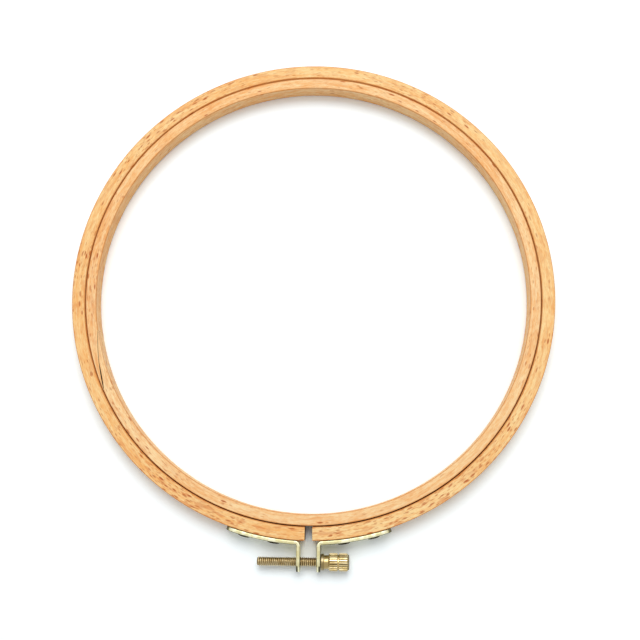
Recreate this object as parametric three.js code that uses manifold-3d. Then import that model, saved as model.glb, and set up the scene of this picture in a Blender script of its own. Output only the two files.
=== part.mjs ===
// Embroidery hoop, 200 mm across. A plain beech ring lies inside a split beech ring, and cloth is
// stretched between the two. A sheet-metal bracket is pinned to each end of the split ring. Its lug
// stands out from the ring, and one long screw with a knurled knob draws the two lugs together.
//
// The hoop lies flat with its resting face at z = 0. +X is to the right and +Y is away from the screw.
// The origin is under the middle of the whole hoop, screw lugs included.
import * as THREE from "three";
import { mergeVertices } from "three/addons/utils/BufferGeometryUtils.js";
import Module from "manifold-3d";

// Driving dimensions of the rings, in millimetres
const outerRingDiameter = 200;
const outerRingWall = 5.3;
const innerRingWall = 4.35;
const ringClearance = 0.5;
const ringHeight = 8;
const ringEdgeChamfer = 0.25;
const splitGap = 2.9;

// The outer ring is one bent strip. It flexes when the screw is turned, and its two halves are
// separate bodies that meet in this thin seam opposite the split.
const flexSeam = 0.2;

// The inner ring is a strip whose tapered ends are lapped and glued. The feather end on the outside
// has lifted a little, and leaves a narrow wedge open beside it.
const lapEndAngle = THREE.MathUtils.degToRad(206.1);
const lapLength = 25.5;
const liftedLength = 11;
const liftedOpening = 0.35;

// Driving dimensions of the two brackets
const sheetThickness = 1.55;
const bracketInset = 0.2;
const lugSpacing = 6.5;
const lugReach = 12.4;
const bendRadius = 2.1;
const strapReach = 33;
const bracketSeatGap = 0.15;

// Driving dimensions of the pins. Places are measured along the ring: the inner pin's from the
// split's middle, and the outer pin's from the strap's tip.
const innerPinReach = 13.5;
const outerPinInset = 7.8;
const pinShankDiameter = 1.8;
const pinShankLength = 5.6;
const pinPointLength = 0.8;
const pinHeadDiameter = 4.9;
const pinHeadHeight = 0.6;
const pinSeatGap = 0.15;
const pinHoleClearance = 0.15;

// Driving dimensions of the screw
const screwDrop = 8.4;
const threadDiameter = 3.7;
const threadDepth = 0.45;
const threadPitch = 0.8;
const threadChamfer = 0.4;
const threadRunout = 0.3;
const screwTail = 15.6;
const lugHoleClearance = 0.25;

// Driving dimensions of the knob that is pressed on the screw's plain end
const knobSeatDepth = 6;
const knobSeatClearance = 0.15;
const knobRunningGap = 0.2;
const flangeDiameter = 6.5;
const flangeThickness = 1.15;
const neckDiameter = 5.4;
const neckLength = 1.75;
const shoulderLength = 0.6;
const gripDiameter = 6.95;
const gripBandLength = 2.95;
const gripGrooveLength = 0.9;
const gripGrooveDepth = 0.65;
const gripEndChamfer = 0.65;
const gripEndLength = 0.9;
const flutes = 21;
const fluteDepth = 0.32;

// How finely round shapes are divided
const ringSegments = 120;
const roundSegments = 32;
const pinSegments = 16;
const domeSteps = 4;
const threadSegments = 14;
const bendSteps = 5;
const lapSteps = 6;

// Sizes and places that follow from the driving dimensions
const outerRadius = outerRingDiameter / 2;
const outerRingBore = outerRadius - outerRingWall;
const innerRingRadius = outerRingBore - ringClearance;
const innerRingBore = innerRingRadius - innerRingWall;
const midHeight = ringHeight / 2;
const bracketWidth = ringHeight - 2 * bracketInset;
const strapRadius = outerRadius + bracketSeatGap;
const lugFace = lugSpacing / 2;
const screwRadius = outerRadius + screwDrop;
const hoopReach = outerRadius + lugReach;
const ringCentreY = (hoopReach - outerRadius) / 2;
const threadRadius = threadDiameter / 2;
const threadRootRadius = threadRadius - threadDepth;
const lugHoleRadius = threadRadius + lugHoleClearance;
const knobSeatX = lugFace + sheetThickness + knobRunningGap;
const screwReach = knobSeatX + lugFace + sheetThickness + screwTail;
const pinSeatRadius = strapRadius + sheetThickness + pinSeatGap;
const pinReaches = { inner_pin: innerPinReach, outer_pin: strapReach - outerPinInset };

// Cutting tools run past the material by this much
const overrun = 1;

const materials = {
  outerWood: { color: "#f2bf8a", roughness: 0.62, metalness: 0 },
  innerWood: { color: "#f7cfa2", roughness: 0.6, metalness: 0 },
  platedSteel: { color: "#dcd8b0", roughness: 0.32, metalness: 1 },
  pinMetal: { color: "#a59a6b", roughness: 0.4, metalness: 1 },
  screwBrass: { color: "#b79a5e", roughness: 0.35, metalness: 1 },
  knobBrass: { color: "#e3c779", roughness: 0.22, metalness: 1 },
};

const wasm = await Module();
wasm.setup();

// A closed geometry as a solid that can be cut and joined.
function solidOf(geometry) {
  const bare = geometry.clone();
  bare.deleteAttribute("normal");
  bare.deleteAttribute("uv");
  const merged = mergeVertices(bare, 1e-4);
  const mesh = new wasm.Mesh({
    numProp: 3,
    vertProperties: merged.attributes.position.array,
    triVerts: Uint32Array.from(merged.index.array),
  });
  return new wasm.Manifold(mesh);
}

// A named mesh with its own material, from a solid.
function meshOf(name, solid, finish) {
  const { vertProperties, triVerts } = solid.getMesh();
  const geometry = new THREE.BufferGeometry();
  geometry.setAttribute("position", new THREE.BufferAttribute(vertProperties, 3));
  geometry.setIndex(new THREE.BufferAttribute(triVerts, 1));
  geometry.computeVertexNormals();
  const mesh = new THREE.Mesh(geometry, new THREE.MeshStandardMaterial({ ...finish, flatShading: true }));
  mesh.name = name;
  return mesh;
}

// A box between two corners.
function boxBetween(low, high) {
  const size = high.map((value, i) => value - low[i]);
  const middle = high.map((value, i) => (value + low[i]) / 2);
  return solidOf(new THREE.BoxGeometry(...size).translate(...middle));
}

// A body turned about the Z axis. Its section is a list of [radius, z] points.
function turned(section, segments = roundSegments) {
  const points = section.map(([radius, z]) => new THREE.Vector2(radius, z));
  return new THREE.LatheGeometry(points, segments).rotateX(Math.PI / 2);
}

// A solid cylinder about the Z axis, from one z to another.
function rod(radius, from, to) {
  return turned([
    [0, from],
    [radius, from],
    [radius, to],
    [0, to],
  ]);
}

// Moves a geometry made about the Z axis to the ring's rim, with +Z pointing out of the ring.
function toRim(geometry, angle) {
  return geometry.rotateX(Math.PI / 2).translate(0, 0, midHeight).rotateZ(angle);
}

// The angle from the split's middle of a place that lies this far along the ring, on its left or right.
function rimAngle(reach, side) {
  return (side * reach) / outerRadius;
}

// A full wooden ring of rectangular section with its long edges eased.
function ring(bore, radius) {
  const ease = ringEdgeChamfer;
  const section = [
    [radius - ease, 0],
    [radius, ease],
    [radius, ringHeight - ease],
    [radius - ease, ringHeight],
    [bore + ease, ringHeight],
    [bore, ringHeight - ease],
    [bore, ease],
    [bore + ease, 0],
    [radius - ease, 0],
  ];
  return solidOf(turned(section, ringSegments));
}

// The pin with its domed head outside and its point inside. z = 0 is the underside of the head.
// A clearance turns it into the tool that drills the hole for it.
function pinShape(clearance = 0) {
  const headRadius = pinHeadDiameter / 2;
  const shankRadius = pinShankDiameter / 2 + clearance;
  const dome = [];
  for (let step = 0; step <= domeSteps; step += 1) {
    const angle = (step / domeSteps) * (Math.PI / 2);
    dome.push([headRadius * Math.cos(angle), pinHeadHeight * Math.sin(angle)]);
  }
  dome[domeSteps][0] = 0;
  const section = [
    [0, -pinShankLength - clearance],
    [shankRadius, -pinShankLength + pinPointLength - clearance],
    [shankRadius, clearance],
    ...(clearance > 0 ? [[0, clearance]] : dome),
  ];
  return turned(section, pinSegments);
}

// The holes that the pins of one side go through.
function pinHoles(side) {
  const holes = Object.values(pinReaches).map((reach) => {
    const drill = pinShape(pinHoleClearance).translate(0, 0, pinSeatRadius);
    return solidOf(toRim(drill, rimAngle(reach, side)));
  });
  return holes.reduce((all, hole) => all.add(hole));
}

// One half of the split outer ring.
function outerRingHalf(side) {
  const reach = outerRadius + overrun;
  const near = (side * flexSeam) / 2;
  const far = side * reach;
  const halfSpace = boxBetween(
    [Math.min(near, far), -reach, -overrun],
    [Math.max(near, far), reach, ringHeight + overrun],
  );
  const split = boxBetween(
    [-splitGap / 2, -reach, -overrun],
    [splitGap / 2, 0, ringHeight + overrun],
  );
  return ring(outerRingBore, outerRadius).intersect(halfSpace).subtract(split).subtract(pinHoles(side));
}

// The wedge that stays open beside the lifted feather end of the lap. Its wide end runs out through
// the ring's outer face.
function lapOpening() {
  const slope = innerRingWall / lapLength;
  const outerSide = [];
  const innerSide = [];
  for (let step = 0; step <= lapSteps; step += 1) {
    const share = step / lapSteps;
    const behind = step < lapSteps ? liftedLength * (1 - share) : -overrun;
    const angle = lapEndAngle - behind / innerRingRadius;
    const radius = innerRingRadius - behind * slope;
    const width = liftedOpening * share;
    outerSide.push(new THREE.Vector2(radius * Math.cos(angle), radius * Math.sin(angle)));
    innerSide.unshift(
      new THREE.Vector2((radius - width) * Math.cos(angle), (radius - width) * Math.sin(angle)),
    );
  }
  innerSide.pop();
  const outline = new THREE.Shape([...outerSide, ...innerSide]);
  const wedge = new THREE.ExtrudeGeometry(outline, { depth: ringHeight + 2 * overrun, bevelEnabled: false });
  return solidOf(wedge.translate(0, 0, -overrun));
}

// A bracket's edge outline seen from above: the strap on the ring, the bend and the lug.
function bracketOutline(side) {
  const strapOuter = strapRadius + sheetThickness;
  const bendX = lugFace + bendRadius;
  const bendDistance = strapRadius + bendRadius;
  const bendY = -Math.sqrt(bendDistance ** 2 - bendX ** 2);
  const strapEnd = Math.asin(bendX / bendDistance);
  const strapTip = strapReach / outerRadius;
  const down = -Math.PI / 2;
  const towardsRing = Math.atan2(-bendY, -bendX);
  const outline = new THREE.Shape();
  outline.absarc(0, 0, strapRadius, down + strapTip, down + strapEnd, true);
  outline.absarc(bendX, bendY, bendRadius, towardsRing, Math.PI, false);
  outline.lineTo(lugFace, -hoopReach);
  outline.lineTo(lugFace + sheetThickness, -hoopReach);
  outline.absarc(bendX, bendY, bendRadius - sheetThickness, Math.PI, towardsRing, true);
  outline.absarc(0, 0, strapOuter, down + strapEnd, down + strapTip, false);
  const points = outline.getPoints(bendSteps).map(({ x, y }) => new THREE.Vector2(side * x, y));
  return new THREE.Shape(points);
}

// A cylinder this far out from the rings' axis that runs through a bracket's lug on one side.
function acrossLug(radius, reach, side) {
  return rod(radius, 0, lugFace + sheetThickness + overrun)
    .rotateY((side * Math.PI) / 2)
    .translate(0, -reach, midHeight);
}

// A bracket: bent sheet with a round end on the strap and on the lug, two pin holes and a screw hole.
function bracket(side) {
  const endRadius = bracketWidth / 2;
  const lugEndCentre = hoopReach - endRadius;
  const reach = hoopReach + overrun;
  const height = ringHeight + 2 * overrun;
  const plate = new THREE.ExtrudeGeometry(bracketOutline(side), { depth: bracketWidth, bevelEnabled: false });
  const tipAngle = rimAngle(strapReach - endRadius, side);
  const squareStrap = new THREE.BoxGeometry(2 * reach, reach, height)
    .translate(-side * reach, -reach / 2, midHeight)
    .rotateZ(tipAngle);
  const squareLug = new THREE.BoxGeometry(2 * reach, lugEndCentre, height)
    .translate(0, -lugEndCentre / 2, midHeight);
  const roundTip = toRim(rod(endRadius, outerRadius - overrun, pinSeatRadius + overrun), tipAngle);
  const face = solidOf(squareStrap)
    .intersect(solidOf(squareLug))
    .add(solidOf(roundTip))
    .add(solidOf(acrossLug(endRadius, lugEndCentre, side)));
  return solidOf(plate.translate(0, 0, bracketInset))
    .intersect(face)
    .subtract(solidOf(acrossLug(lugHoleRadius, screwRadius, side)))
    .subtract(pinHoles(side));
}

// A right-hand thread about the Z axis. Crest rows and root rows climb one pitch in each turn, so
// the end of every row meets the start of the row after next.
function thread(from, to) {
  const rows = 2 * Math.ceil((to - from) / threadPitch + 1);
  const positions = [];
  for (let row = 0; row <= rows + 2; row += 1) {
    const radius = row % 2 === 0 ? threadRadius : threadRootRadius;
    for (let step = 0; step < threadSegments; step += 1) {
      const turn = step / threadSegments;
      const angle = 2 * Math.PI * turn;
      const z = from + threadPitch * (row / 2 + turn - 1);
      positions.push(radius * Math.cos(angle), radius * Math.sin(angle), z);
    }
  }
  const at = (row, step) =>
    step === threadSegments ? (row + 2) * threadSegments : row * threadSegments + step;
  const startCentre = positions.length / 3;
  positions.push(0, 0, from - threadPitch);
  const endCentre = startCentre + 1;
  positions.push(0, 0, from + threadPitch * (rows / 2));
  const faces = [];
  for (let row = 0; row < rows; row += 1) {
    for (let step = 0; step < threadSegments; step += 1) {
      faces.push(at(row, step), at(row, step + 1), at(row + 1, step));
      faces.push(at(row, step + 1), at(row + 1, step + 1), at(row + 1, step));
    }
  }
  const rim = (row) => {
    const loop = Array.from({ length: threadSegments + 1 }, (_, step) => at(row, step));
    return [...loop, at(row + 1, 0)];
  };
  rim(0).forEach((corner, i, loop) => faces.push(startCentre, loop[(i + 1) % loop.length], corner));
  rim(rows).forEach((corner, i, loop) => faces.push(endCentre, corner, loop[(i + 1) % loop.length]));
  const geometry = new THREE.BufferGeometry();
  geometry.setAttribute("position", new THREE.Float32BufferAttribute(positions, 3));
  geometry.setIndex(faces);
  return geometry;
}

// The screw's shank about the Z axis, with z = 0 at the knob's seat: a thread with a chamfered free
// end, then the plain end that the knob is pressed on.
function threadedShank() {
  const start = -screwReach;
  const end = -threadRunout;
  const clear = threadRadius + overrun;
  const blank = turned([
    [0, start],
    [threadRadius - threadChamfer, start],
    [clear, start + threadChamfer + overrun],
    [clear, end],
    [0, end],
  ]);
  const plainEnd = rod(threadRootRadius, end - threadPitch, knobSeatDepth);
  return solidOf(thread(start, end)).intersect(solidOf(blank)).add(solidOf(plainEnd));
}

// The star-shaped outline of the grip's straight knurl.
function knurlOutline() {
  const tipRadius = gripDiameter / 2;
  const rootRadius = tipRadius - fluteDepth;
  const corners = [
    { share: 0.1, radius: rootRadius },
    { share: 0.3, radius: tipRadius },
    { share: 0.7, radius: tipRadius },
    { share: 0.9, radius: rootRadius },
  ];
  const points = [];
  for (let flute = 0; flute < flutes; flute += 1) {
    for (const { share, radius } of corners) {
      const angle = (2 * Math.PI * (flute + share)) / flutes;
      points.push(new THREE.Vector2(radius * Math.cos(angle), radius * Math.sin(angle)));
    }
  }
  return new THREE.Shape(points);
}

// The knob about the Z axis: a flange that bears on the lug, a neck, and a grip of two knurled bands.
function knob() {
  const neckRadius = neckDiameter / 2;
  const gripRadius = gripDiameter / 2;
  const neckEnd = flangeThickness + neckLength;
  const firstBand = neckEnd + shoulderLength;
  const groove = firstBand + gripBandLength;
  const secondBand = groove + gripGrooveLength;
  const taper = secondBand + gripBandLength;
  const end = taper + gripEndLength;
  const collar = turned([
    [0, 0],
    [flangeDiameter / 2, 0],
    [flangeDiameter / 2, flangeThickness],
    [neckRadius, flangeThickness],
    [neckRadius, firstBand],
    [0, firstBand],
  ]);
  const grip = turned([
    [0, neckEnd],
    [neckRadius, neckEnd],
    [gripRadius, firstBand],
    [gripRadius, groove],
    [gripRadius - gripGrooveDepth, groove + gripGrooveLength / 2],
    [gripRadius, secondBand],
    [gripRadius, taper],
    [gripRadius - gripEndChamfer, end],
    [0, end],
  ]);
  const knurl = new THREE.ExtrudeGeometry(knurlOutline(), { depth: end, bevelEnabled: false });
  const seat = rod(threadRootRadius + knobSeatClearance, -overrun, knobSeatDepth + knobSeatClearance);
  return solidOf(grip).intersect(solidOf(knurl)).add(solidOf(collar)).subtract(solidOf(seat));
}

// One side of the split ring with its bracket and pins.
function ringSide(label, side) {
  const group = new THREE.Group();
  group.add(meshOf(`outer_ring_${label}`, outerRingHalf(side), materials.outerWood));
  group.add(meshOf(`${label}_bracket`, bracket(side), materials.platedSteel));
  for (const [name, reach] of Object.entries(pinReaches)) {
    const arm = new THREE.Group();
    arm.rotation.z = rimAngle(reach, side);
    const pin = meshOf(`${label}_${name}`, solidOf(pinShape()), materials.pinMetal);
    pin.position.set(0, -pinSeatRadius, midHeight);
    pin.rotation.x = Math.PI / 2;
    arm.add(pin);
    group.add(arm);
  }
  return group;
}

// The screw and its knob, turned so that the knob is on the right.
function clampScrew() {
  const group = new THREE.Group();
  group.position.set(knobSeatX, -screwRadius, midHeight);
  group.rotation.y = Math.PI / 2;
  group.add(meshOf("threaded_shank", threadedShank(), materials.screwBrass));
  group.add(meshOf("knurled_knob", knob(), materials.knobBrass));
  return group;
}

const innerRing = ring(innerRingBore, innerRingRadius).subtract(lapOpening());

const hoop = new THREE.Group();
hoop.position.y = ringCentreY;
hoop.add(ringSide("left", -1));
hoop.add(ringSide("right", 1));
hoop.add(meshOf("inner_ring", innerRing, materials.innerWood));
hoop.add(clampScrew());

export default hoop;
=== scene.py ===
# %% [markdown]
# # A beech embroidery hoop
# The hoop is two wooden rings, one inside the other. The outer one is split, and a screw between two
# sheet-metal brackets pulls it shut over the cloth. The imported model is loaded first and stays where
# it is: every piece made here takes its place and size from it, in metres.

import math

import bmesh
import bpy
from mathutils import Matrix, Vector


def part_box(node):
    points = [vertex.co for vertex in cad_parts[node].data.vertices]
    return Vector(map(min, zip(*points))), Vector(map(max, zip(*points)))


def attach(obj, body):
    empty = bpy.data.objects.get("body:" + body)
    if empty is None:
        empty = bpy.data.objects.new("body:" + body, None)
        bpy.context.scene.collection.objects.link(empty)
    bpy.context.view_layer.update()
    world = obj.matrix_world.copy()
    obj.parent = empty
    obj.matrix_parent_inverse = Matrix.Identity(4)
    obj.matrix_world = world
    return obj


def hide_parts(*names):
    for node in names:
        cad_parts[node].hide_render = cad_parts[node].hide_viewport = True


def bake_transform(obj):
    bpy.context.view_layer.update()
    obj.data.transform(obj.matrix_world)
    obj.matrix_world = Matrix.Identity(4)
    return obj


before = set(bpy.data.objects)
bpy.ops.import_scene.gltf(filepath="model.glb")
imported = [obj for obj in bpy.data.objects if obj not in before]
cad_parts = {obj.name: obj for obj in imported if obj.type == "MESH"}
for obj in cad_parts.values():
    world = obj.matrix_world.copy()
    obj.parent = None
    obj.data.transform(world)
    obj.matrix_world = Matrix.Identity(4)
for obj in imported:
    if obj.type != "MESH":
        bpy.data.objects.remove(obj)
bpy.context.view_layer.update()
MM = 0.001

# %% [markdown]
# ## Reading sizes from the frame
# A node's vertices say where it is. The rings are round about one upright axis, so the nearest and
# the furthest vertex from that axis give a ring's bore and its outer radius. Measuring here, and not
# copying numbers, keeps the dressed pieces on the model when a size changes.

# %% Measure the rings
outer_low, outer_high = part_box("outer_ring_right")
outer_radius = outer_high.x
ring_height = outer_high.z - outer_low.z
ring_centre = Vector((0, outer_high.y - outer_radius, 0))


def reach(node, wanted=lambda corner: True):
    """The nearest and the furthest vertex of a node from the rings' axis, of those that are wanted."""
    corners = [v.co - ring_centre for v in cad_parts[node].data.vertices]
    lengths = [corner.to_2d().length for corner in corners if wanted(corner)]
    return min(lengths), max(lengths)


outer_bore, _ = reach("outer_ring_right")
inner_bore, inner_radius = reach("inner_ring")
outer_wall, inner_wall = outer_radius - outer_bore, inner_radius - inner_bore
split_gap = 2 * min(v.co.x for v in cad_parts["outer_ring_right"].data.vertices if v.co.y < 0)
print(f"outer ring {outer_bore / MM:.2f} to {outer_radius / MM:.2f} mm, inner ring"
      f" {inner_bore / MM:.2f} to {inner_radius / MM:.2f} mm, split {split_gap / MM:.2f} mm")

# %% [markdown]
# ## Writing node trees as formulas
# Both the shapes and the finishes below are node trees. Placing nodes one by one hides the idea, so
# a small class stands for what flows out of a socket, and sums and products of such values add the
# nodes that work them out. A formula in the script then reads like the formula it is.

# %% A value that flows through a tree


def pick(sockets, key):
    """The socket with this name that is in use, or the socket with this number."""
    return sockets[key] if isinstance(key, int) else next(s for s in sockets if s.name == key and s.enabled)


def fill(socket, value):
    """Joins a value to an input, or writes a constant in it."""
    if isinstance(value, Flow):
        socket.id_data.links.new(value.socket, socket)
    else:
        socket.default_value = value


def put(tree, kind, inputs=None, **settings):
    """Adds a node, sets it, fills its inputs, and gives what flows out of it."""
    node = tree.nodes.new(kind)
    for name, choice in settings.items():
        setattr(node, name, choice)
    for key, value in (inputs or {}).items():
        fill(pick(node.inputs, key), value)
    used = [s for s in node.outputs if s.enabled]
    return Flow(used[0]) if used else None


def reckon(operation, *terms):
    """A Math node on one, two or three terms."""
    tree = next(t for t in terms if isinstance(t, Flow)).tree
    return put(tree, "ShaderNodeMath", dict(enumerate(terms)), operation=operation)


class Flow:
    """What flows out of a socket."""

    def __init__(self, socket):
        self.socket = socket
        self.tree = socket.id_data

    def other(self, name):
        """What flows out of another socket of the same node."""
        return Flow(pick(self.socket.node.outputs, name))

    def __add__(self, term):
        return reckon("ADD", self, term)

    def __sub__(self, term):
        return reckon("SUBTRACT", self, term)

    def __rsub__(self, term):
        return reckon("SUBTRACT", term, self)

    def __mul__(self, term):
        return reckon("MULTIPLY", self, term)

    def __truediv__(self, term):
        return reckon("DIVIDE", self, term)

    def parts(self):
        """The x, y and z of a vector."""
        split = put(self.tree, "ShaderNodeSeparateXYZ", {0: self})
        return split, split.other("Y"), split.other("Z")

    def ease(self, low, high, to_low=0.0, to_high=1.0):
        """A soft step: to_low up to low, to_high from high on, and an S-curve between them."""
        limits = {"Value": self, "From Min": low, "From Max": high, "To Min": to_low, "To Max": to_high}
        return put(self.tree, "ShaderNodeMapRange", limits, interpolation_type="SMOOTHSTEP")


def vector(tree, x, y, z):
    """A vector from its three parts."""
    return put(tree, "ShaderNodeCombineXYZ", {0: x, 1: y, 2: z})


# %% [markdown]
# ## From a tree to a plain mesh
# A geometry tree is tried on a maker object, with its sizes given by name. The result is copied as a
# plain mesh, so the piece that stays has no modifier left on it and sits at the origin.

# %% Start a tree and make pieces with it


def added(name, data):
    """A new object with this data, linked to the scene."""
    new_object = bpy.data.objects.new(name, data)
    bpy.context.scene.collection.objects.link(new_object)
    return new_object


def shape_tree(name, **inputs):
    """A new geometry tree with named inputs. Gives the tree, its geometry input and its other inputs."""
    tree = bpy.data.node_groups.new(name, "GeometryNodeTree")
    tree.interface.new_socket("Geometry", in_out="INPUT", socket_type="NodeSocketGeometry")
    for title, kind in inputs.items():
        tree.interface.new_socket(title, in_out="INPUT", socket_type="NodeSocket" + kind)
    tree.interface.new_socket("Geometry", in_out="OUTPUT", socket_type="NodeSocketGeometry")
    start = put(tree, "NodeGroupInput")
    return tree, start, {title: start.other(title) for title in inputs}


def close_tree(tree, shape, finish):
    """Ends a tree: real geometry, smooth faces and its finish."""
    real = put(tree, "GeometryNodeRealizeInstances", {"Geometry": shape})
    smooth = put(tree, "GeometryNodeSetShadeSmooth", {"Geometry": real})
    dressed = put(tree, "GeometryNodeSetMaterial", {"Geometry": smooth, "Material": finish})
    put(tree, "NodeGroupOutput", {"Geometry": dressed})


def plain_copy(maker, name):
    """The evaluated maker as a plain mesh object. The maker is removed."""
    view = bpy.context.evaluated_depsgraph_get()
    mesh = bpy.data.meshes.new_from_object(
        maker.evaluated_get(view), preserve_all_data_layers=True, depsgraph=view
    )
    bpy.data.objects.remove(maker)
    mesh.name = name
    return added(name, mesh)


def grow(name, tree, sizes, start=None, round_edges=0.0, sharp_from=30):
    """A piece made by a tree with these sizes. Edges sharper than an angle can be rounded."""
    maker = added(name + "_maker", start or bpy.data.meshes.new(name + "_start"))
    modifier = maker.modifiers.new("shape", "NODES")
    modifier.node_group = tree
    for item in tree.interface.items_tree:
        if item.in_out == "INPUT" and item.name in sizes:
            modifier[item.identifier] = sizes[item.name]
    if round_edges:
        bevel = maker.modifiers.new("eased edges", "BEVEL")
        bevel.width = round_edges
        bevel.segments = 2
        bevel.angle_limit = math.radians(50)
    piece = plain_copy(maker, name)
    finish_normals(piece, sharp_from)
    return piece


def finish_normals(piece, sharp_from):
    """Points the faces out, and keeps edges sharp past an angle in degrees."""
    work = bmesh.new()
    work.from_mesh(piece.data)
    bmesh.ops.recalc_face_normals(work, faces=work.faces)
    if work.calc_volume(signed=True) < 0:
        bmesh.ops.reverse_faces(work, faces=work.faces)
    work.to_mesh(piece.data)
    volume = work.calc_volume(signed=True)
    open_edges = sum(not edge.is_manifold for edge in work.edges)
    work.free()
    piece.data.set_sharp_from_angle(angle=math.radians(sharp_from))
    faces = len(piece.data.polygons)
    print(f"{piece.name}: {faces} faces, {volume / MM ** 3:.1f} mm3, {open_edges} open edges")


# %% [markdown]
# ## Colours
# A colour is written as it looks on a screen, from 0 to 255, and turned into the linear light that
# shaders work with.

# %% Colours as they look


def shade(red, green, blue):
    """A screen colour as linear light."""
    def linear(part):
        part /= 255
        return part / 12.92 if part <= 0.04045 else ((part + 0.055) / 1.055) ** 2.4

    return (linear(red), linear(green), linear(blue), 1.0)


def mixed(tree, share, first, second):
    """Two colours mixed by a share."""
    return put(tree, "ShaderNodeMix", {"Factor": share, "A": first, "B": second}, data_type="RGBA")


def new_finish(name):
    """A new material with its tree and its shader node."""
    material = bpy.data.materials.new(name)
    material.use_nodes = True
    return material, material.node_tree, material.node_tree.nodes["Principled BSDF"]


def bumped(tree, shader, height, depth):
    """Raises the surface by a height from 0 to 1, times a real depth."""
    bump = put(tree, "ShaderNodeBump", {"Height": height, "Distance": depth, "Strength": 1.0})
    fill(shader.inputs["Normal"], bump)


# %% [markdown]
# ## Beech
# A hoop is a straight strip of beech, steamed and bent. The grain follows the bend, so the pattern is
# laid out on the straight strip: each point keeps its place there in an attribute named grain, and the
# noise is stretched along it. Steamed beech is a pinkish tan with a faint streak and a rosy blush here
# and there. The whole strip's tone is made a little deeper towards its last end. The mark of beech is
# the ray fleck, a reddish-brown dash 1 to 4 mm long. A Voronoi cell stretched along the strip makes one
# dash, a random number for each cell says whether it has one, and a slow noise gathers them in groups,
# more of them near the ends.

# %% The wood finish


def stretched(tree, place, along, across, up):
    """The place on the strip, counted in lengths of this size each way."""
    steps = (1 / (along * MM), 1 / (across * MM), 1 / (up * MM))
    return put(tree, "ShaderNodeVectorMath", {0: place, 1: steps}, operation="MULTIPLY")


def soft_noise(tree, place, detail=2.0, roughness=0.5):
    """A noise from 0 to 1 about a half, with features one unit of the place wide."""
    settings = {"Vector": place, "Scale": 1.0, "Detail": detail, "Roughness": roughness}
    return put(tree, "ShaderNodeTexNoise", settings)


def wandering(tree, place):
    """The place pushed across the strip by up to half a millimetre, so that no streak runs straight."""
    middle, most = (0.5, 0.5, 0.5), 0.9 * MM
    drift = put(tree, "ShaderNodeTexNoise", {"Vector": stretched(tree, place, 9, 3, 3), "Scale": 1.0})
    centred = put(tree, "ShaderNodeVectorMath", {0: drift.other("Color"), 1: middle}, operation="SUBTRACT")
    wander = put(tree, "ShaderNodeVectorMath", {0: centred, 1: (0, most, most)}, operation="MULTIPLY")
    return put(tree, "ShaderNodeVectorMath", {0: place, 1: wander}, operation="ADD")


def dashes(tree, place, size, share, crowd):
    """Ray flecks: 1 in the middle of a dash and 0 outside. The share of cells with one follows the crowd."""
    cell = put(tree, "ShaderNodeTexVoronoi", {"Vector": stretched(tree, place, *size), "Scale": 1.0})
    luck, thickness, _ = cell.other("Color").parts()
    chosen = (crowd * share - luck).ease(0.0, 0.06)
    return cell.ease(0.38, 0.18) * chosen * (thickness * 0.5 + 0.5)


def near_border(distance, size):
    """1 on the border of a strip this wide or high, and 0 from half a millimetre inside it."""
    return reckon("ABSOLUTE", distance).ease(size / 2 - 0.5 * MM, size / 2 - 0.05 * MM)


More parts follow.
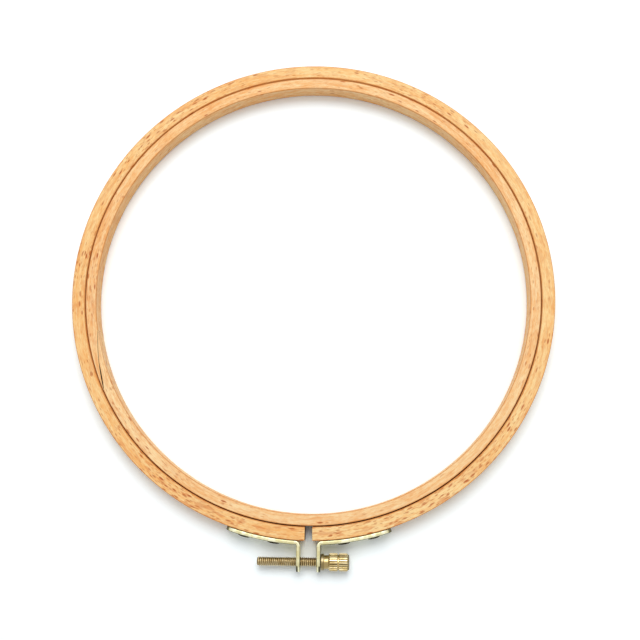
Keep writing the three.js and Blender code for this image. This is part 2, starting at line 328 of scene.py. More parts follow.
def beech(name, pale, deep, fleck_share, strip_length, strip_wall, lap=0.0):
    """Steamed beech in two tones, with this share of flecks. The long edges get a deeper tone as painted
    shade, where the rounded edges and the gap between the rings fall in shade; the strip's two ends show
    dark end grain, and glue stains the faces that meet in the lap."""
    # The edge tone is painted shade: it deepens the long edges, where the rounded edges and the gap between
    # the rings fall in shade.
    fleck, blush_tone, edge_shade_tone = shade(180, 78, 20), shade(212, 114, 54), shade(206, 118, 34)
    light_end, dark_end = shade(128, 84, 50), shade(78, 48, 28)
    glue_tone, glue_depth = shade(52, 34, 18), 0.12 * MM
    material, tree, shader = new_finish(name)
    place = put(tree, "ShaderNodeAttribute", attribute_name="grain").other("Vector")
    along, across, up = place.parts()
    from_end = reckon("MINIMUM", along, strip_length - along)
    lapped = reckon("LESS_THAN", along, lap) * reckon("GREATER_THAN", across, 0.0)
    lapped = lapped + reckon("GREATER_THAN", along, strip_length - lap) * reckon("LESS_THAN", across, 0.0)
    glued = lapped * reckon("GREATER_THAN", reckon("ABSOLUTE", across), strip_wall / 2 - glue_depth)
    # Painted shade on the long edges, kept off the lap.
    edge = near_border(across, strip_wall) * near_border(up, ring_height) * (1.0 - lapped)

    waved = wandering(tree, place)
    board = soft_noise(tree, stretched(tree, waved, 40, 4, 5))
    streak = soft_noise(tree, stretched(tree, waved, 9, 0.75, 0.9))
    grit = soft_noise(tree, stretched(tree, waved, 2.2, 0.5, 0.5), detail=3, roughness=0.65)
    pore = soft_noise(tree, stretched(tree, waved, 2.4, 0.14, 0.14))
    near_end = from_end.ease(45 * MM, 100 * MM, 1.4, 0.7)
    blush = soft_noise(tree, stretched(tree, waved, 5, 1.3, 1.6)).ease(0.5, 0.62) * near_end
    crowd = soft_noise(tree, stretched(tree, waved, 30, 9, 9)).ease(0.38, 0.62, 0.3, 1.7) * near_end
    bold = dashes(tree, waved, (4.4, 1.15, 0.9), fleck_share, crowd)
    fine = dashes(tree, waved, (2.8, 0.7, 0.5), fleck_share * 1.2, crowd)

    # The tone deepens along the strip, towards its last end.
    deepening = (along / strip_length - 0.45) * 0.28
    tone = board.ease(0.32, 0.68) * 0.24 + streak.ease(0.36, 0.64) * 0.38 + grit.ease(0.36, 0.64) * 0.38
    plain = mixed(tree, tone + deepening, pale, deep)
    blushed = mixed(tree, blush * (fleck_share * 0.5 + 0.08), plain, blush_tone)
    pored = mixed(tree, pore.ease(0.55, 0.72) * 0.3, blushed, fleck)
    flecked = mixed(tree, fine * 0.6, pored, fleck)
    bold_flecked = mixed(tree, bold * 0.9, flecked, fleck)
    # Mix in the painted shade of the long edges.
    edge_shaded = mixed(tree, edge * 0.75, bold_flecked, edge_shade_tone)
    side_grain = mixed(tree, glued * 0.9, edge_shaded, glue_tone)
    end_grain = mixed(tree, grit, light_end, dark_end)
    fill(shader.inputs["Base Color"], mixed(tree, from_end.ease(0.0, 0.08 * MM), end_grain, side_grain))
    fill(shader.inputs["Roughness"], streak.ease(0.2, 0.8, 0.5, 0.66))
    shader.inputs["Specular IOR Level"].default_value = 0.15
    height = streak * 0.4 + grit * 0.25 + pore * 0.35 - bold * 0.25
    bumped(tree, shader, height, 0.05 * MM)
    return material


outer_strip_length = math.pi * (outer_bore + outer_radius) - split_gap
outer_wood = beech(
    "beech_outer", shade(254, 224, 163), shade(246, 180, 106), 0.5, outer_strip_length, outer_wall,
)
inner_middle = (inner_radius + inner_bore) / 2
lap_length = 25.5 * MM
lap_on_middle = lap_length * inner_middle / inner_radius
inner_strip_length = 2 * math.pi * inner_middle + lap_on_middle
inner_wood = beech(
    "beech_inner", shade(255, 225, 172), shade(244, 176, 106), 0.2, inner_strip_length, inner_wall,
    lap=lap_on_middle,
)
print(f"strips {outer_strip_length / MM:.0f} and {inner_strip_length / MM:.0f} mm long")

# %% [markdown]
# ## A strip that is bent into a ring
# The tree does what the hoop maker does. It sweeps a rounded rectangle along a straight line, keeps
# each point's place on that straight strip as the grain, and then bends the strip round the axis. The
# inner ring's ends are cut to long wedges first, so that one lies on the other in a glued lap. Moving
# the points by a formula keeps the faces in even rows, which a boolean cut would not. The section's
# sides are divided before its corners are rounded, and merging takes away the doubled points.

# %% The tree that bends a strip
strip_tree, _, ring_size = shape_tree(
    "bent_strip",
    Bore="Float", Wall="Float", Height="Float", Rounding="Float", Centre="Vector",
    StartAngle="Float", SweepAngle="Float", Steps="Int",
    LapLength="Float", GlueLine="Float", LiftedLength="Float", LiftedOpening="Float", BluntEnd="Float",
    Waviness="Float", Seed="Float", Finish="Material",
)
wall, height = ring_size["Wall"], ring_size["Height"]
middle_radius = ring_size["Bore"] + wall * 0.5
strip_length = middle_radius * ring_size["SweepAngle"]

line = put(strip_tree, "GeometryNodeCurvePrimitiveLine", {
    "Start": (0, 0, 0), "End": vector(strip_tree, strip_length, 0, 0),
})
path = put(strip_tree, "GeometryNodeResampleCurve", {"Curve": line, "Count": ring_size["Steps"]})
upright = put(strip_tree, "GeometryNodeSetCurveNormal", {"Curve": path}, mode="Z_UP")
rectangle = put(strip_tree, "GeometryNodeCurvePrimitiveQuadrilateral", {"Width": wall, "Height": height})
divided = put(strip_tree, "GeometryNodeSubdivideCurve", {"Curve": rectangle, "Cuts": 5})
section = put(strip_tree, "GeometryNodeFilletCurve", {
    "Curve": divided, "Count": 4, "Radius": ring_size["Rounding"],
}, mode="POLY")
straight = put(strip_tree, "GeometryNodeCurveToMesh", {
    "Curve": upright, "Profile Curve": section, "Fill Caps": True,
})
merged = put(strip_tree, "GeometryNodeMergeByDistance", {"Geometry": straight, "Distance": 0.001 * MM})
marked = put(strip_tree, "GeometryNodeStoreNamedAttribute", {
    "Geometry": merged, "Name": "grain", "Value": put(strip_tree, "GeometryNodeInputPosition"),
}, data_type="FLOAT_VECTOR", domain="POINT")

# %% [markdown]
# The lap: over the lap's length the first end grows from a thin blunt edge at the bore to the full
# wall, and the last end thins to a feather at the outside. Between them stays a hair of glue. Near the
# outer feather the glue has let go, and the seam opens there to a slim lens.

# %% The lap and the bend
along, across, up = put(strip_tree, "GeometryNodeInputPosition").parts()
share_out = across / wall + 0.5
lap = ring_size["LapLength"]
feather = 0.02
end_grace = 0.01 * MM
from_start = reckon("MINIMUM", (along + end_grace) / lap, 1.0)
to_end = (strip_length - along + end_grace) / lap
lift_raw = (along - lap + ring_size["LiftedLength"]) / ring_size["LiftedLength"]
lift = reckon("MINIMUM", reckon("MAXIMUM", lift_raw, 0.0), 1.0)
open_seam = ring_size["GlueLine"] + ring_size["LiftedOpening"] * 4.0 * lift * (1.0 - lift)
seam_width = open_seam * (1.0 - from_start).ease(0.0, 0.05)
blunt = ring_size["BluntEnd"] * (1.0 - from_start)
first_wall = reckon("MAXIMUM", from_start * wall - seam_width, wall * feather) + blunt
last_wall = reckon("MAXIMUM", reckon("MINIMUM", to_end, 1.0), feather) * wall
is_first = reckon("LESS_THAN", along, strip_length * 0.5)
first_radius = ring_size["Bore"] - blunt + share_out * first_wall
last_radius = ring_size["Bore"] + wall - (1.0 - share_out) * last_wall
lapped_radius = last_radius + (first_radius - last_radius) * is_first

angle = ring_size["StartAngle"] + along / middle_radius
ripples_along, ripples_up = 26.0, 90.0
ripple_place = vector(strip_tree, along * ripples_along, ring_size["Seed"], up * ripples_up)
ripple = put(strip_tree, "ShaderNodeTexNoise", {"Vector": ripple_place, "Scale": 1.0, "Detail": 2.0})
ripple_peak = 0.65
radius = lapped_radius + (ripple - ripple_peak) * 2.0 * ring_size["Waviness"]
bent = vector(strip_tree, radius * reckon("COSINE", angle), radius * reckon("SINE", angle), up + height * 0.5)
in_place = put(strip_tree, "ShaderNodeVectorMath", {0: bent, 1: ring_size["Centre"]}, operation="ADD")
ring_shape = put(strip_tree, "GeometryNodeSetPosition", {"Geometry": marked, "Position": in_place})
close_tree(strip_tree, ring_shape, ring_size["Finish"])
print("bent_strip:", len(strip_tree.nodes), "nodes")

# %% [markdown]
# ## The two rings
# The outer ring is one strip from one side of the split round to the other, so it replaces both
# halves of the model. The inner ring goes round once and laps over itself on the left, a little below
# the middle.

# %% The outer ring
edge_rounding = 0.25 * MM
ring_steps = 720
common_sizes = {
    "Height": ring_height, "Rounding": edge_rounding, "Centre": ring_centre,
    "Steps": ring_steps, "Waviness": 0.05 * MM,
}
split_half_angle = math.asin(split_gap / (outer_bore + outer_radius))
no_lap = {"LapLength": 0.001 * MM, "LiftedLength": 1.0}
outer_ring = grow("outer_ring", strip_tree, {
    **common_sizes, **no_lap,
    "Bore": outer_bore, "Wall": outer_wall,
    "StartAngle": -math.pi / 2 + split_half_angle,
    "SweepAngle": 2 * math.pi - 2 * split_half_angle,
    "Seed": 3.7, "Finish": outer_wood,
}, round_edges=0.14 * MM)
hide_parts("outer_ring_left", "outer_ring_right")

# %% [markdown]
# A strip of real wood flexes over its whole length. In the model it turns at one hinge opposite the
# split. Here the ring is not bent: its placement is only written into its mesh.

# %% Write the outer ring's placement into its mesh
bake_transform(outer_ring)

# %% The inner ring
lap_end_angle = math.radians(206.1)
inner_ring = grow("inner_ring_strip", strip_tree, {
    **common_sizes,
    "Bore": inner_bore, "Wall": inner_wall,
    "StartAngle": lap_end_angle - lap_on_middle / inner_middle,
    "SweepAngle": 2 * math.pi + lap_on_middle / inner_middle,
    "LapLength": lap_on_middle, "GlueLine": 0.07 * MM, "BluntEnd": 0.05 * MM,
    "LiftedLength": 11 * MM, "LiftedOpening": 0.33 * MM, "Seed": 9.1, "Finish": inner_wood,
})
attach(inner_ring, "inner_ring")
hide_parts("inner_ring")

# %% [markdown]
# ## Metal finishes
# All the metal here is thin plating or bare brass, never a mirror. Each finish mixes two close tones
# by a slow noise, roughens in fine scratches, and keeps a trace of height from the same noise. A dark
# tone is mixed in by a number on each vertex: partly tarnish and wear, and partly painted shade in
# flutes, roots, rims and corners. The metal looks like metal because of what it mirrors, so its
# shader stays simple.

# %% The metal finishes


def metal(name, light, dark, tarnish_and_shade_tone, roughness, spread, scratch_size, place_attribute=None, pits=0.0):
    """A metal of two tones and a dark tone for tarnish and painted shade. Scratches are noise stretched to
    this size, in millimetres.
    """
    material, tree, shader = new_finish(name)
    if place_attribute:
        place = put(tree, "ShaderNodeAttribute", attribute_name=place_attribute).other("Vector")
    else:
        place = put(tree, "ShaderNodeTexCoord").other("Object")
    cloud = soft_noise(tree, stretched(tree, place, 2.6, 2.6, 2.6), detail=3)
    scratch = soft_noise(tree, stretched(tree, place, *scratch_size), detail=3)
    speck = soft_noise(tree, stretched(tree, place, 0.35, 0.35, 0.35), detail=2)
    bright = mixed(tree, cloud.ease(0.35, 0.65) * 0.6 + scratch * 0.4, light, dark)
    rough = scratch * spread + cloud * (spread * 0.5) + (roughness - spread * 0.75)
    # A dark tone by a number on each vertex: partly tarnish and wear, partly painted shade.
    tarnish_and_shade = put(tree, "ShaderNodeAttribute", attribute_name="tarnish_and_shade").other("Fac")
    fill(shader.inputs["Base Color"], mixed(tree, tarnish_and_shade * 0.9, bright, tarnish_and_shade_tone))
    fill(shader.inputs["Roughness"], rough + tarnish_and_shade * 0.2)
    shader.inputs["Metallic"].default_value = 1.0
    bumped(tree, shader, scratch * 0.6 + speck * (0.4 + pits), (0.012 + 0.02 * pits) * MM)
    return material


plated_sheet = metal(
    "plated_sheet", shade(252, 249, 216), shade(198, 187, 130), shade(44, 38, 14),
    0.32, 0.16, (2.4, 0.5, 0.5), place_attribute="sheet",
)
dull_pin = metal(
    "dull_pin", shade(156, 134, 80), shade(112, 92, 46), shade(34, 22, 4),
    0.36, 0.2, (0.5, 0.5, 0.5), pits=1.0,
)
thread_brass = metal(
    "thread_brass", shade(236, 218, 174), shade(186, 156, 98), shade(86, 64, 20),
    0.32, 0.14, (0.3, 2.0, 2.0),
)
knob_brass = metal(
    "knob_brass", shade(234, 219, 178), shade(188, 160, 96), shade(44, 30, 5),
    0.26, 0.14, (1.5, 0.2, 0.2),
)
print("metal finishes:", plated_sheet.name, dull_pin.name, thread_brass.name, knob_brass.name)

# %% [markdown]
# ## The brackets
# A bracket starts as a flat blank: a strip of sheet with round ends and three holes. A filled 2D
# curve gives it, with the small burr-free rounding of a tumbled stamping. The blank is then sliced
# into short lengths and each vertex is carried to its place on the bent bracket: along the ring, round
# the bend and out to the end of the lug. Bending the blank keeps the holes and the edges true.

# %% Measure a bracket
bracket_low, bracket_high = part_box("right_bracket")
sheet_width = bracket_high.z - bracket_low.z
past_bend = 20 * MM
strap_inner, _ = reach("right_bracket")
_, strap_outer = reach("right_bracket", lambda corner: corner.x > past_bend)
sheet_thickness = strap_outer - strap_inner
strap_middle = (strap_inner + strap_outer) / 2
bend_radius = 2.1 * MM
bend_middle = bend_radius - sheet_thickness / 2
lug_middle_x = bracket_low.x + sheet_thickness / 2
bend_centre_x = lug_middle_x + bend_middle
bend_distance = strap_middle + bend_middle
strap_end_angle = math.asin(bend_centre_x / bend_distance)
bend_centre_y = -math.sqrt(bend_distance ** 2 - bend_centre_x ** 2)
strap_tip_angle = math.asin(bracket_high.x / strap_middle)
screw_low, screw_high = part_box("threaded_shank")
screw_axis = Vector((0, (screw_low.y + screw_high.y) / 2, (screw_low.z + screw_high.z) / 2))
thread_radius = (screw_high.z - screw_low.z) / 2

strap_length = strap_middle * (strap_tip_angle - strap_end_angle)
bend_turn = math.pi / 2 - strap_end_angle
bend_length = bend_middle * bend_turn
lug_length = ring_centre.y + bend_centre_y - bracket_low.y
blank_length = strap_length + bend_length + lug_length
print(f"blank {blank_length / MM:.2f} x {sheet_width / MM:.2f} x {sheet_thickness / MM:.2f} mm,"
      f" strap {strap_length / MM:.2f}, lug {lug_length / MM:.2f} mm")

# %% Where a point of the blank ends up


def on_bracket(point, side):
    """Bends a point of the blank: x runs from the strap's tip to the lug's end, y across, z outwards."""
    travelled, off = point.x, point.z
    if travelled < strap_length:
        turn = strap_tip_angle - travelled / strap_middle
        x = (strap_middle + off) * math.sin(turn)
        y = -(strap_middle + off) * math.cos(turn)
    elif travelled < strap_length + bend_length:
        turn = strap_end_angle + (travelled - strap_length) / bend_middle
        x = bend_centre_x - (bend_middle - off) * math.sin(turn)
        y = bend_centre_y + (bend_middle - off) * math.cos(turn)
    else:
        x = lug_middle_x + off
        y = bend_centre_y - (travelled - strap_length - bend_length)
    return Vector((side * x, ring_centre.y + y, ring_height / 2 + point.y))


def pin_angle(node):
    """The angle of a pin from the split's middle."""
    low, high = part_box(node)
    middle = (low + high) / 2 - ring_centre
    return math.atan2(abs(middle.x), -middle.y)


# %% The blank


def round_spline(curve, centre, radius, points=40):
    """Adds a closed round outline to a curve."""
    spline = curve.splines.new("POLY")
    spline.points.add(points - 1)
    spline.use_cyclic_u = True
    for step, point in enumerate(spline.points):
        turn = 2 * math.pi * step / points
        point.co = (centre + radius * math.cos(turn), radius * math.sin(turn), 0, 1)


def outline_spline(curve, length, width, arc_steps=24):
    """Adds the outline of a strip with round ends."""
    corner = width / 2
    arcs = [(corner, math.pi / 2), (length - corner, -math.pi / 2)]
    points = []
    for centre, start in arcs:
        for step in range(arc_steps + 1):
            turn = start + math.pi * step / arc_steps
            points.append((centre + corner * math.cos(turn), corner * math.sin(turn), 0, 1))
    spline = curve.splines.new("POLY")
    spline.points.add(len(points) - 1)
    spline.use_cyclic_u = True
    for point, place in zip(spline.points, points):
        point.co = place


edge_round = 0.2 * MM
pin_hole_radius = 1.05 * MM
screw_hole_gap = 0.25 * MM


def blank():
    """The flat blank as a mesh: the sheet with its pin holes and its screw hole."""
    curve = bpy.data.curves.new("bracket_blank", "CURVE")
    curve.dimensions = "2D"
    curve.fill_mode = "BOTH"
    curve.extrude = sheet_thickness / 2 - edge_round
    curve.bevel_depth = edge_round
    curve.bevel_resolution = 2
    curve.offset = -edge_round
    outline_spline(curve, blank_length, sheet_width)
    for name in ("right_outer_pin", "right_inner_pin"):
        round_spline(curve, strap_middle * (strap_tip_angle - pin_angle(name)), pin_hole_radius)
    screw_reach = strap_length + bend_length + ring_centre.y + bend_centre_y - screw_axis.y
    round_spline(curve, screw_reach, thread_radius + screw_hole_gap)
    return plain_copy(added("blank_maker", curve), "blank")


# %% [markdown]
# A press shears the blank out of the sheet. The rounded rim of the sheared edge gets a dark line of
# painted shade, the strap's tip is dull, and at the end of the lug the sheet has torn, which leaves a
# dark streak. A number on each vertex says how dark it is there, and the finish reads it.

# %% Bend a blank into a bracket
tear = (0.05 * MM, 0.6 * MM)
torn_length = 2.4 * MM
dull_length, dullness = 1.4 * MM, 0.85
strap_slices, bend_slices = 60, 14


def wear_and_rim_shade(place):
    """How dark a point of the blank is painted, from 0 to 1: painted shade on the rim, wear at the tip and
    the tear.
    """
    below_face = sheet_thickness / 2 - abs(place.z)
    # The rim's dark line is painted shade; the tear and the dull tip are wear.
    on_rim = 0.05 * edge_round < below_face < 0.95 * edge_round
    on_tear = tear[0] * 0.99 < place.z < tear[1] * 1.01 and place.x > blank_length - torn_length
    return 1.0 if on_rim or on_tear else dullness if place.x < dull_length else 0.0


def slice_at(work, place, across):
    """Divides the faces along a plane."""
    parts = work.verts[:] + work.edges[:] + work.faces[:]
    bmesh.ops.bisect_plane(work, geom=parts, dist=1e-7, plane_co=place, plane_no=across)


def bracket(name, side):
    """A bracket on the right (side 1) or on the left (side -1)."""
    piece = blank()
    piece.name = name
    work = bmesh.new()
    work.from_mesh(piece.data)
    bmesh.ops.remove_doubles(work, verts=work.verts, dist=0.001 * MM)
    stations = [i / strap_slices * strap_length for i in range(1, strap_slices)]
    stations += [strap_length + i / bend_slices * bend_length for i in range(bend_slices + 1)]
    for station in stations:
        slice_at(work, (station, 0, 0), (1, 0, 0))
    for level in (0.0, *tear):
        slice_at(work, (0, 0, level), (0, 0, 1))
    layer = work.verts.layers.float_vector.new("sheet")
    worn_and_shaded = work.verts.layers.float.new("tarnish_and_shade")
    for vertex in work.verts:
        vertex[layer] = vertex.co
        vertex[worn_and_shaded] = wear_and_rim_shade(vertex.co)
        vertex.co = on_bracket(vertex.co, side)
    bmesh.ops.dissolve_degenerate(work, edges=work.edges, dist=0.001 * MM)
    for face in work.faces:
        face.smooth = True
    work.to_mesh(piece.data)
    work.free()
    finish_normals(piece, 40)
    piece.data.materials.clear()
    piece.data.materials.append(plated_sheet)
    weighted = piece.modifiers.new("even normals", "WEIGHTED_NORMAL")
    weighted.keep_sharp = True
    return piece


for label, side in (("right", 1), ("left", -1)):
    piece = bracket(label + "_bracket_sheet", side)
    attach(piece, label + "_half")
    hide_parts(label + "_bracket")

# %% [markdown]
# ## Turned pieces
# The pins and the knob are turned on a lathe. Their half sections are short lists of points, and the
# tree sweeps a section round a circle and moves every point by its radius and height. Rounding the
# section's corners first gives the small broken edges that turned work has. The same tree cuts the
# knob's straight knurl, by keeping each point inside a fluted outline, and marks where the metal is
# darkened: in the flutes, by tarnish and painted shade, and on a rim between two radii and on a corner
# between two heights, by painted shade.

# %% The tree that turns a section
lathe_tree, lathe_start, lathe = shape_tree(
    "turned_piece",
    Rounding="Float", Divisions="Int", Flutes="Float", FluteRadius="Float", FluteDepth="Float",
    FluteFrom="Float", RimFrom="Float", RimTo="Float", CornerFrom="Float", CornerTo="Float",
    Finish="Material",
)
section_curve = put(lathe_tree, "GeometryNodeMeshToCurve", {"Mesh": lathe_start})
eased = put(lathe_tree, "GeometryNodeFilletCurve", {
    "Curve": section_curve, "Count": 3, "Radius": lathe["Rounding"], "Limit Radius": True,
}, mode="POLY")
section_marked = put(lathe_tree, "GeometryNodeStoreNamedAttribute", {
    "Geometry": eased, "Name": "section", "Value": put(lathe_tree, "GeometryNodeInputPosition"),
}, data_type="FLOAT_VECTOR", domain="POINT")
circle = put(lathe_tree, "GeometryNodeCurvePrimitiveCircle", {
    "Resolution": lathe["Divisions"], "Radius": 1.0,
})
circle_marked = put(lathe_tree, "GeometryNodeStoreNamedAttribute", {
    "Geometry": circle, "Name": "around", "Value": put(lathe_tree, "GeometryNodeInputPosition"),
}, data_type="FLOAT_VECTOR", domain="POINT")
swept = put(lathe_tree, "GeometryNodeCurveToMesh", {"Curve": circle_marked, "Profile Curve": section_marked})


def named(tree, name):
    """What a named attribute holds."""
    return put(tree, "GeometryNodeInputNamedAttribute", {"Name": name}, data_type="FLOAT_VECTOR")


turned_radius, turned_height, _ = named(lathe_tree, "section").parts()
around_x, around_y, _ = named(lathe_tree, "around").parts()
turn = reckon("ARCTAN2", around_y, around_x)
ridge = reckon("ABSOLUTE", reckon("SINE", turn * lathe["Flutes"] * 0.5))
valley = ridge.ease(0.12, 0.8, 1.0, 0.0)
fluted = reckon("MINIMUM", turned_radius, lathe["FluteRadius"] - lathe["FluteDepth"] * valley)
in_grip = reckon("GREATER_THAN", turned_height, lathe["FluteFrom"])
cut_radius = turned_radius + (fluted - turned_radius) * in_grip
turned_place = vector(lathe_tree, around_x * cut_radius, around_y * cut_radius, turned_height)
# In the flutes the darkening is tarnish and painted shade of the recess.
cut_share = (turned_radius - cut_radius) / lathe["FluteDepth"]
# On a rim between two radii, and on a corner between two heights, the darkening is painted shade.
rim = turned_radius.ease(lathe["RimFrom"], lathe["RimTo"]) * (1.0 - in_grip)
past_corner = reckon("GREATER_THAN", turned_height, lathe["CornerFrom"])
in_corner = past_corner * reckon("LESS_THAN", turned_height, lathe["CornerTo"])
turned_marked = put(lathe_tree, "GeometryNodeStoreNamedAttribute", {
    "Geometry": swept, "Name": "tarnish_and_shade", "Value": reckon("MAXIMUM", cut_share + rim, in_corner * 0.8),
}, data_type="FLOAT", domain="POINT")
turned_shape = put(lathe_tree, "GeometryNodeSetPosition", {
    "Geometry": turned_marked, "Position": turned_place,
})
turned_closed = put(lathe_tree, "GeometryNodeMergeByDistance", {
    "Geometry": turned_shape, "Distance": 0.002 * MM,
})
close_tree(lathe_tree, turned_closed, lathe["Finish"])
print("turned_piece:", len(lathe_tree.nodes), "nodes")

# %% Draw a half section


def half_section(name, points):
    """A half section as a mesh of edges. Points are a radius and a height in millimetres."""
    mesh = bpy.data.meshes.new(name)
    corners = [(radius * MM, height * MM, 0) for radius, height in points]
    mesh.from_pydata(corners, [(i, i + 1) for i in range(len(corners) - 1)], [])
    return mesh


# %% [markdown]
# ## The pins
# Two domed pins hold each strap on its end of the ring. Each is turned with its shank and its short
# point, which go into the wood, and stands at the place and the angle that the model gives. Its mesh is
# moved there, and its object stays at the origin.

# %% Pins
pin_seat = strap_outer + 0.15 * MM
pin_head_radius, pin_head_height = 2.45, 0.6
pin_shank_radius, pin_shank_length, pin_point = 0.9, 5.6, 0.8
dome_rim, dome_steps = 0.12, 8
dome_turns = [step / dome_steps * math.pi / 2 for step in range(dome_steps)]
pin_section = [
    (0, -pin_shank_length),
    (pin_shank_radius, pin_point - pin_shank_length),
    (pin_shank_radius, 0),
    (pin_head_radius, 0),
    *(
        (pin_head_radius * math.cos(turn), dome_rim + (pin_head_height - dome_rim) * math.sin(turn))
        for turn in dome_turns
    ),
    (0, pin_head_height),
]
no_flutes = {"Flutes": 1.0, "FluteRadius": 1.0, "FluteFrom": 1.0}


def turned_pin(node, side):
    """A pin in the place of a node. Side is 1 on the right and -1 on the left."""
    # The rim darkens the outer part of the head: painted shade.
    pin = grow(node + "_turned", lathe_tree, {
        "Rounding": 0.08 * MM, "Divisions": 40, **no_flutes,
        "RimFrom": 0.6 * MM, "RimTo": 1.7 * MM, "Finish": dull_pin,
    }, start=half_section("pin_section", pin_section), sharp_from=50)
    out = side * pin_angle(node) - math.pi / 2
    turn_out = Matrix.Rotation(out, 4, "Z") @ Matrix.Rotation(math.pi / 2, 4, "Y")
    lift = Matrix.Translation(ring_centre + Vector((0, 0, ring_height / 2)))
    pin.data.transform(lift @ turn_out @ Matrix.Translation((0, 0, pin_seat)))
    return pin


for label, side in (("right", 1), ("left", -1)):
    for node in (label + "_inner_pin", label + "_outer_pin"):
        pin = turned_pin(node, side)
        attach(pin, label + "_half")
        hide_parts(node)

# %% [markdown]
# ## The knob
# A flange bears on the lug, a neck leads to the grip, and the grip is two knurled bands with a groove
# between them. Its section is listed from the bottom of the bore, round the outside, to the end face.

# %% The knob
knob_low, knob_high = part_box("knurled_knob")
grip_radius = (knob_high.z - knob_low.z) / 2 / MM
knob_length = (knob_high.x - knob_low.x) / MM
seat_radius, seat_depth = 1.55, 6.15
flange_radius, flange_thickness = 3.25, 1.15
neck_radius, neck_end = 2.7, 2.9
band_starts = (3.5, 7.35)
band_length, groove_depth, end_chamfer = 2.95, 0.65, 0.65
groove_middle = (band_starts[0] + band_length + band_starts[1]) / 2
flutes, steps_per_flute = 21, 12
knob_section = [
    (0, seat_depth),
    (seat_radius, seat_depth),
    (seat_radius, 0),
    (flange_radius, 0),
    (flange_radius, flange_thickness),
    (neck_radius, flange_thickness),
    (neck_radius, neck_end),
    (grip_radius, band_starts[0]),
    (grip_radius, band_starts[0] + band_length),
    (grip_radius - groove_depth, groove_middle),
    (grip_radius, band_starts[1]),
    (grip_radius, band_starts[1] + band_length),
    (grip_radius - end_chamfer, knob_length),
    (0, knob_length),
]
screw_start = Vector((knob_low.x, screw_axis.y, screw_axis.z))
along_screw = Matrix.Translation(screw_start) @ Matrix.Rotation(math.pi / 2, 4, "Y")
knob = grow("knob_turned", lathe_tree, {
    "Rounding": 0.12 * MM, "Divisions": flutes * steps_per_flute,
    "Flutes": float(flutes), "FluteRadius": grip_radius * MM, "FluteDepth": 0.32 * MM,
    # The rim darkens the flange and the neck, and the corner the end chamfer: painted shade.
    "FluteFrom": neck_end * MM, "RimFrom": 1.5 * MM, "RimTo": 4.5 * MM,
    "CornerFrom": (knob_length - end_chamfer + 0.03) * MM, "CornerTo": (knob_length - 0.01) * MM,
    "Finish": knob_brass,
}, start=half_section("knob_section", knob_section), sharp_from=34)
knob.data.transform(along_screw)
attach(knob, "clamp_screw")
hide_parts("knurled_knob")

# %% [markdown]
# ## The screw thread
# A thread is a profile that climbs one pitch in each turn. The tree starts from a flat grid. Its
# columns go round the axis and its rows climb with the angle, so that each crest is one clean line,
# and the last column meets the first one pitch further on, where merging joins them. The first and
# the last row shrink to points on the axis, which closes both ends. The root is darkened, partly by
# tarnish and partly by painted shade.

# %% The tree that cuts a thread
thread_tree, _, screw = shape_tree(
    "screw_thread",
    Radius="Float", Depth="Float", Pitch="Float", Start="Float", End="Float", PlainEnd="Float",
    Chamfer="Float", RowsPerPitch="Int", Columns="Int", Finish="Material",
)
turns = (screw["End"] - screw["Start"]) / screw["Pitch"] + 2.0
row_count = reckon("CEIL", turns) * screw["RowsPerPitch"]
grid = put(thread_tree, "GeometryNodeMeshGrid", {
    "Size X": 1.0, "Size Y": row_count, "Vertices X": screw["Columns"] + 1, "Vertices Y": row_count + 1,
})
grid_x, grid_y, _ = put(thread_tree, "GeometryNodeInputPosition").parts()
round_share = grid_x + 0.5
row = grid_y + row_count * 0.5
climb = (row - 1.0) / screw["RowsPerPitch"]
height_raw = screw["Start"] + screw["Pitch"] * (climb + round_share - 1.0)
height_cut = reckon("MINIMUM", reckon("MAXIMUM", height_raw, screw["Start"]), screw["End"])
in_pitch = reckon("FRACT", climb + 0.001)
tooth = 1.0 - reckon("ABSOLUTE", in_pitch * 2.0 - 1.0)
crest = tooth.ease(0.1, 0.85)
root_radius = screw["Radius"] - screw["Depth"]
cut_radius = root_radius + screw["Depth"] * crest
chamfered = reckon("MINIMUM", cut_radius, root_radius + (height_cut - screw["Start"]) * screw["Chamfer"])
runout = root_radius + (screw["End"] - height_cut) * 2.0
threaded = reckon("MINIMUM", chamfered, runout)
is_plain = reckon("GREATER_THAN", row, row_count - 1.5)
is_pole = reckon("MAXIMUM", reckon("LESS_THAN", row, 0.5), reckon("GREATER_THAN", row, row_count - 0.5))
final_radius = threaded * (1.0 - is_pole)
final_height = height_cut + (screw["PlainEnd"] - height_cut) * is_plain
round_angle = round_share * (2 * math.pi)
screw_place = vector(
    thread_tree,
    final_radius * reckon("COSINE", round_angle), final_radius * reckon("SINE", round_angle), final_height,
)
# The root's dark tone is tarnish and painted shade.
screw_marked = put(thread_tree, "GeometryNodeStoreNamedAttribute", {
    "Geometry": grid, "Name": "tarnish_and_shade", "Value": 1.0 - crest,
}, data_type="FLOAT", domain="POINT")
screw_shape = put(thread_tree, "GeometryNodeSetPosition", {
    "Geometry": screw_marked, "Position": screw_place,
})
screw_closed = put(thread_tree, "GeometryNodeMergeByDistance", {
    "Geometry": screw_shape, "Distance": 0.003 * MM,
})
close_tree(thread_tree, screw_closed, screw["Finish"])

# %% The screw
shank = grow("screw_shank", thread_tree, {
    "Radius": thread_radius, "Depth": 0.45 * MM, "Pitch": 0.8 * MM,
    "Start": screw_low.x - knob_low.x, "End": -0.3 * MM, "PlainEnd": screw_high.x - knob_low.x,
    "Chamfer": 1.0, "RowsPerPitch": 8, "Columns": 48, "Finish": thread_brass,
}, sharp_from=60)
shank.data.transform(along_screw)
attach(shank, "clamp_screw")
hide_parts("threaded_shank")

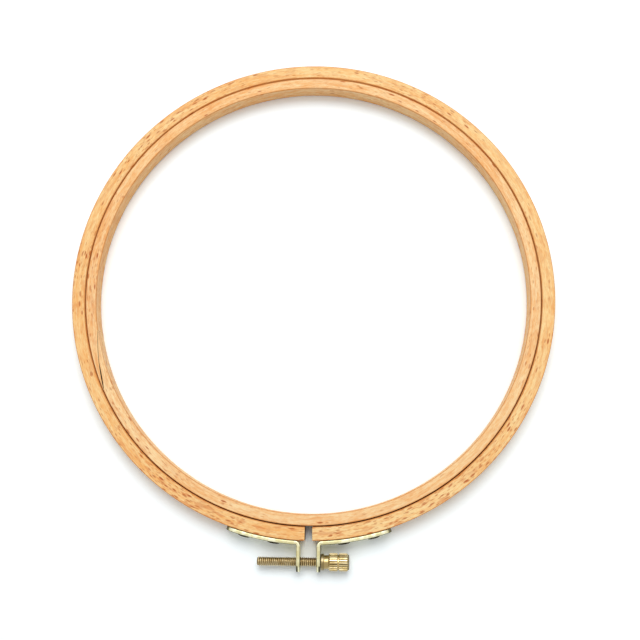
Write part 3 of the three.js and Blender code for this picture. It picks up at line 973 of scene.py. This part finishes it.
# %% [markdown]
# ## Floor, light and camera
# The hoop lies on a plain white table. One large soft light stands behind it and above, so the shadows
# fall towards the screw. The sky is a dome that is brighter high up, but dark straight overhead, where
# the camera hangs and blocks the light: that keeps the narrow gaps dark. The camera and the metal's
# reflections see the table and the room in a plain pale tone instead, which lights nothing else. The
# camera looks down at the place and angle worked out from the rings' outlines.

# %% Floor
floor_drop = 0.02 * MM
table_white, seen_brighter = (0.84, 0.91, 0.94), 0.24


def seen_or_mirrored(tree):
    """1 for a ray that the camera or a reflection sends out, and 0 for the rays that carry light."""
    rays = put(tree, "ShaderNodeLightPath")
    return reckon("MAXIMUM", rays, rays.other("Is Glossy Ray"))


floor_mesh = bpy.data.meshes.new("floor")
work = bmesh.new()
bmesh.ops.create_circle(work, cap_ends=True, segments=96, radius=2.5)
bmesh.ops.translate(work, verts=work.verts, vec=(0, 0, -floor_drop))
work.to_mesh(floor_mesh)
work.free()
floor = added("floor", floor_mesh)
floor_finish, floor_tree, floor_shader = new_finish("white_table")
floor_shader.inputs["Roughness"].default_value = 0.9
brighter = seen_or_mirrored(floor_tree) * seen_brighter
fill(floor_shader.inputs["Base Color"], vector(floor_tree, *(brighter + part for part in table_white)))
floor_mesh.materials.append(floor_finish)
print("floor:", floor_finish.name)

# %% Sky and light
low_sky, high_sky, cap = (0.42, 0.42, 0.43, 1), (0.8, 0.8, 0.8, 1), (0, 0, 0, 1)
pale_room = (0.94, 0.95, 0.96, 1)
world = bpy.data.worlds.new("studio")
bpy.context.scene.world = world
world.use_nodes = True
sky_tree = world.node_tree
_, _, sky_up = put(sky_tree, "ShaderNodeTexCoord").other("Generated").parts()
dome = mixed(sky_tree, sky_up.ease(0.15, 1.0), low_sky, high_sky)
capped = mixed(sky_tree, sky_up.ease(0.82, 0.98, 0.0, 0.85), dome, cap)
background = sky_tree.nodes["Background"]
fill(background.inputs["Color"], mixed(sky_tree, seen_or_mirrored(sky_tree), capped, pale_room))
background.inputs["Strength"].default_value = 1.0

lamp_data = bpy.data.lights.new("window", "AREA")
lamp_data.shape = "DISK"
lamp_data.size = 1.25
lamp_data.energy = 18.4
lamp = added("window", lamp_data)
lamp_away = Vector((0.03, 0.84, 1.52))
lamp.location = ring_centre + lamp_away
lamp.rotation_mode = "QUATERNION"
lamp.rotation_quaternion = lamp_away.to_track_quat("Z", "Y")
print(f"light {lamp_away.length:.2f} m away, {lamp_data.size} m across")

# %% Camera
camera_data = bpy.data.cameras.new("camera")
camera_data.sensor_width = 36
camera_data.lens = 50.4
camera = added("camera", camera_data)
aim = Vector((3.46 * MM, -5.28 * MM, ring_height))
camera_distance = 368.7 * MM
azimuth, elevation, roll = math.radians(9.44), math.radians(80.07), math.radians(-8.82)
back = Vector((
    math.sin(azimuth) * math.cos(elevation),
    -math.cos(azimuth) * math.cos(elevation),
    math.sin(elevation),
))
level_right = Vector((0, 0, 1)).cross(back).normalized()
level_up = back.cross(level_right)
right = level_right * math.cos(roll) + level_up * math.sin(roll)
turned = Matrix((right, back.cross(right), back)).transposed().to_4x4()
camera.matrix_world = Matrix.Translation(aim + back * camera_distance) @ turned
bpy.context.scene.camera = camera
bpy.context.scene.view_settings.view_transform = "Standard"
print("camera at", [round(part / MM, 1) for part in camera.matrix_world.translation], "mm")
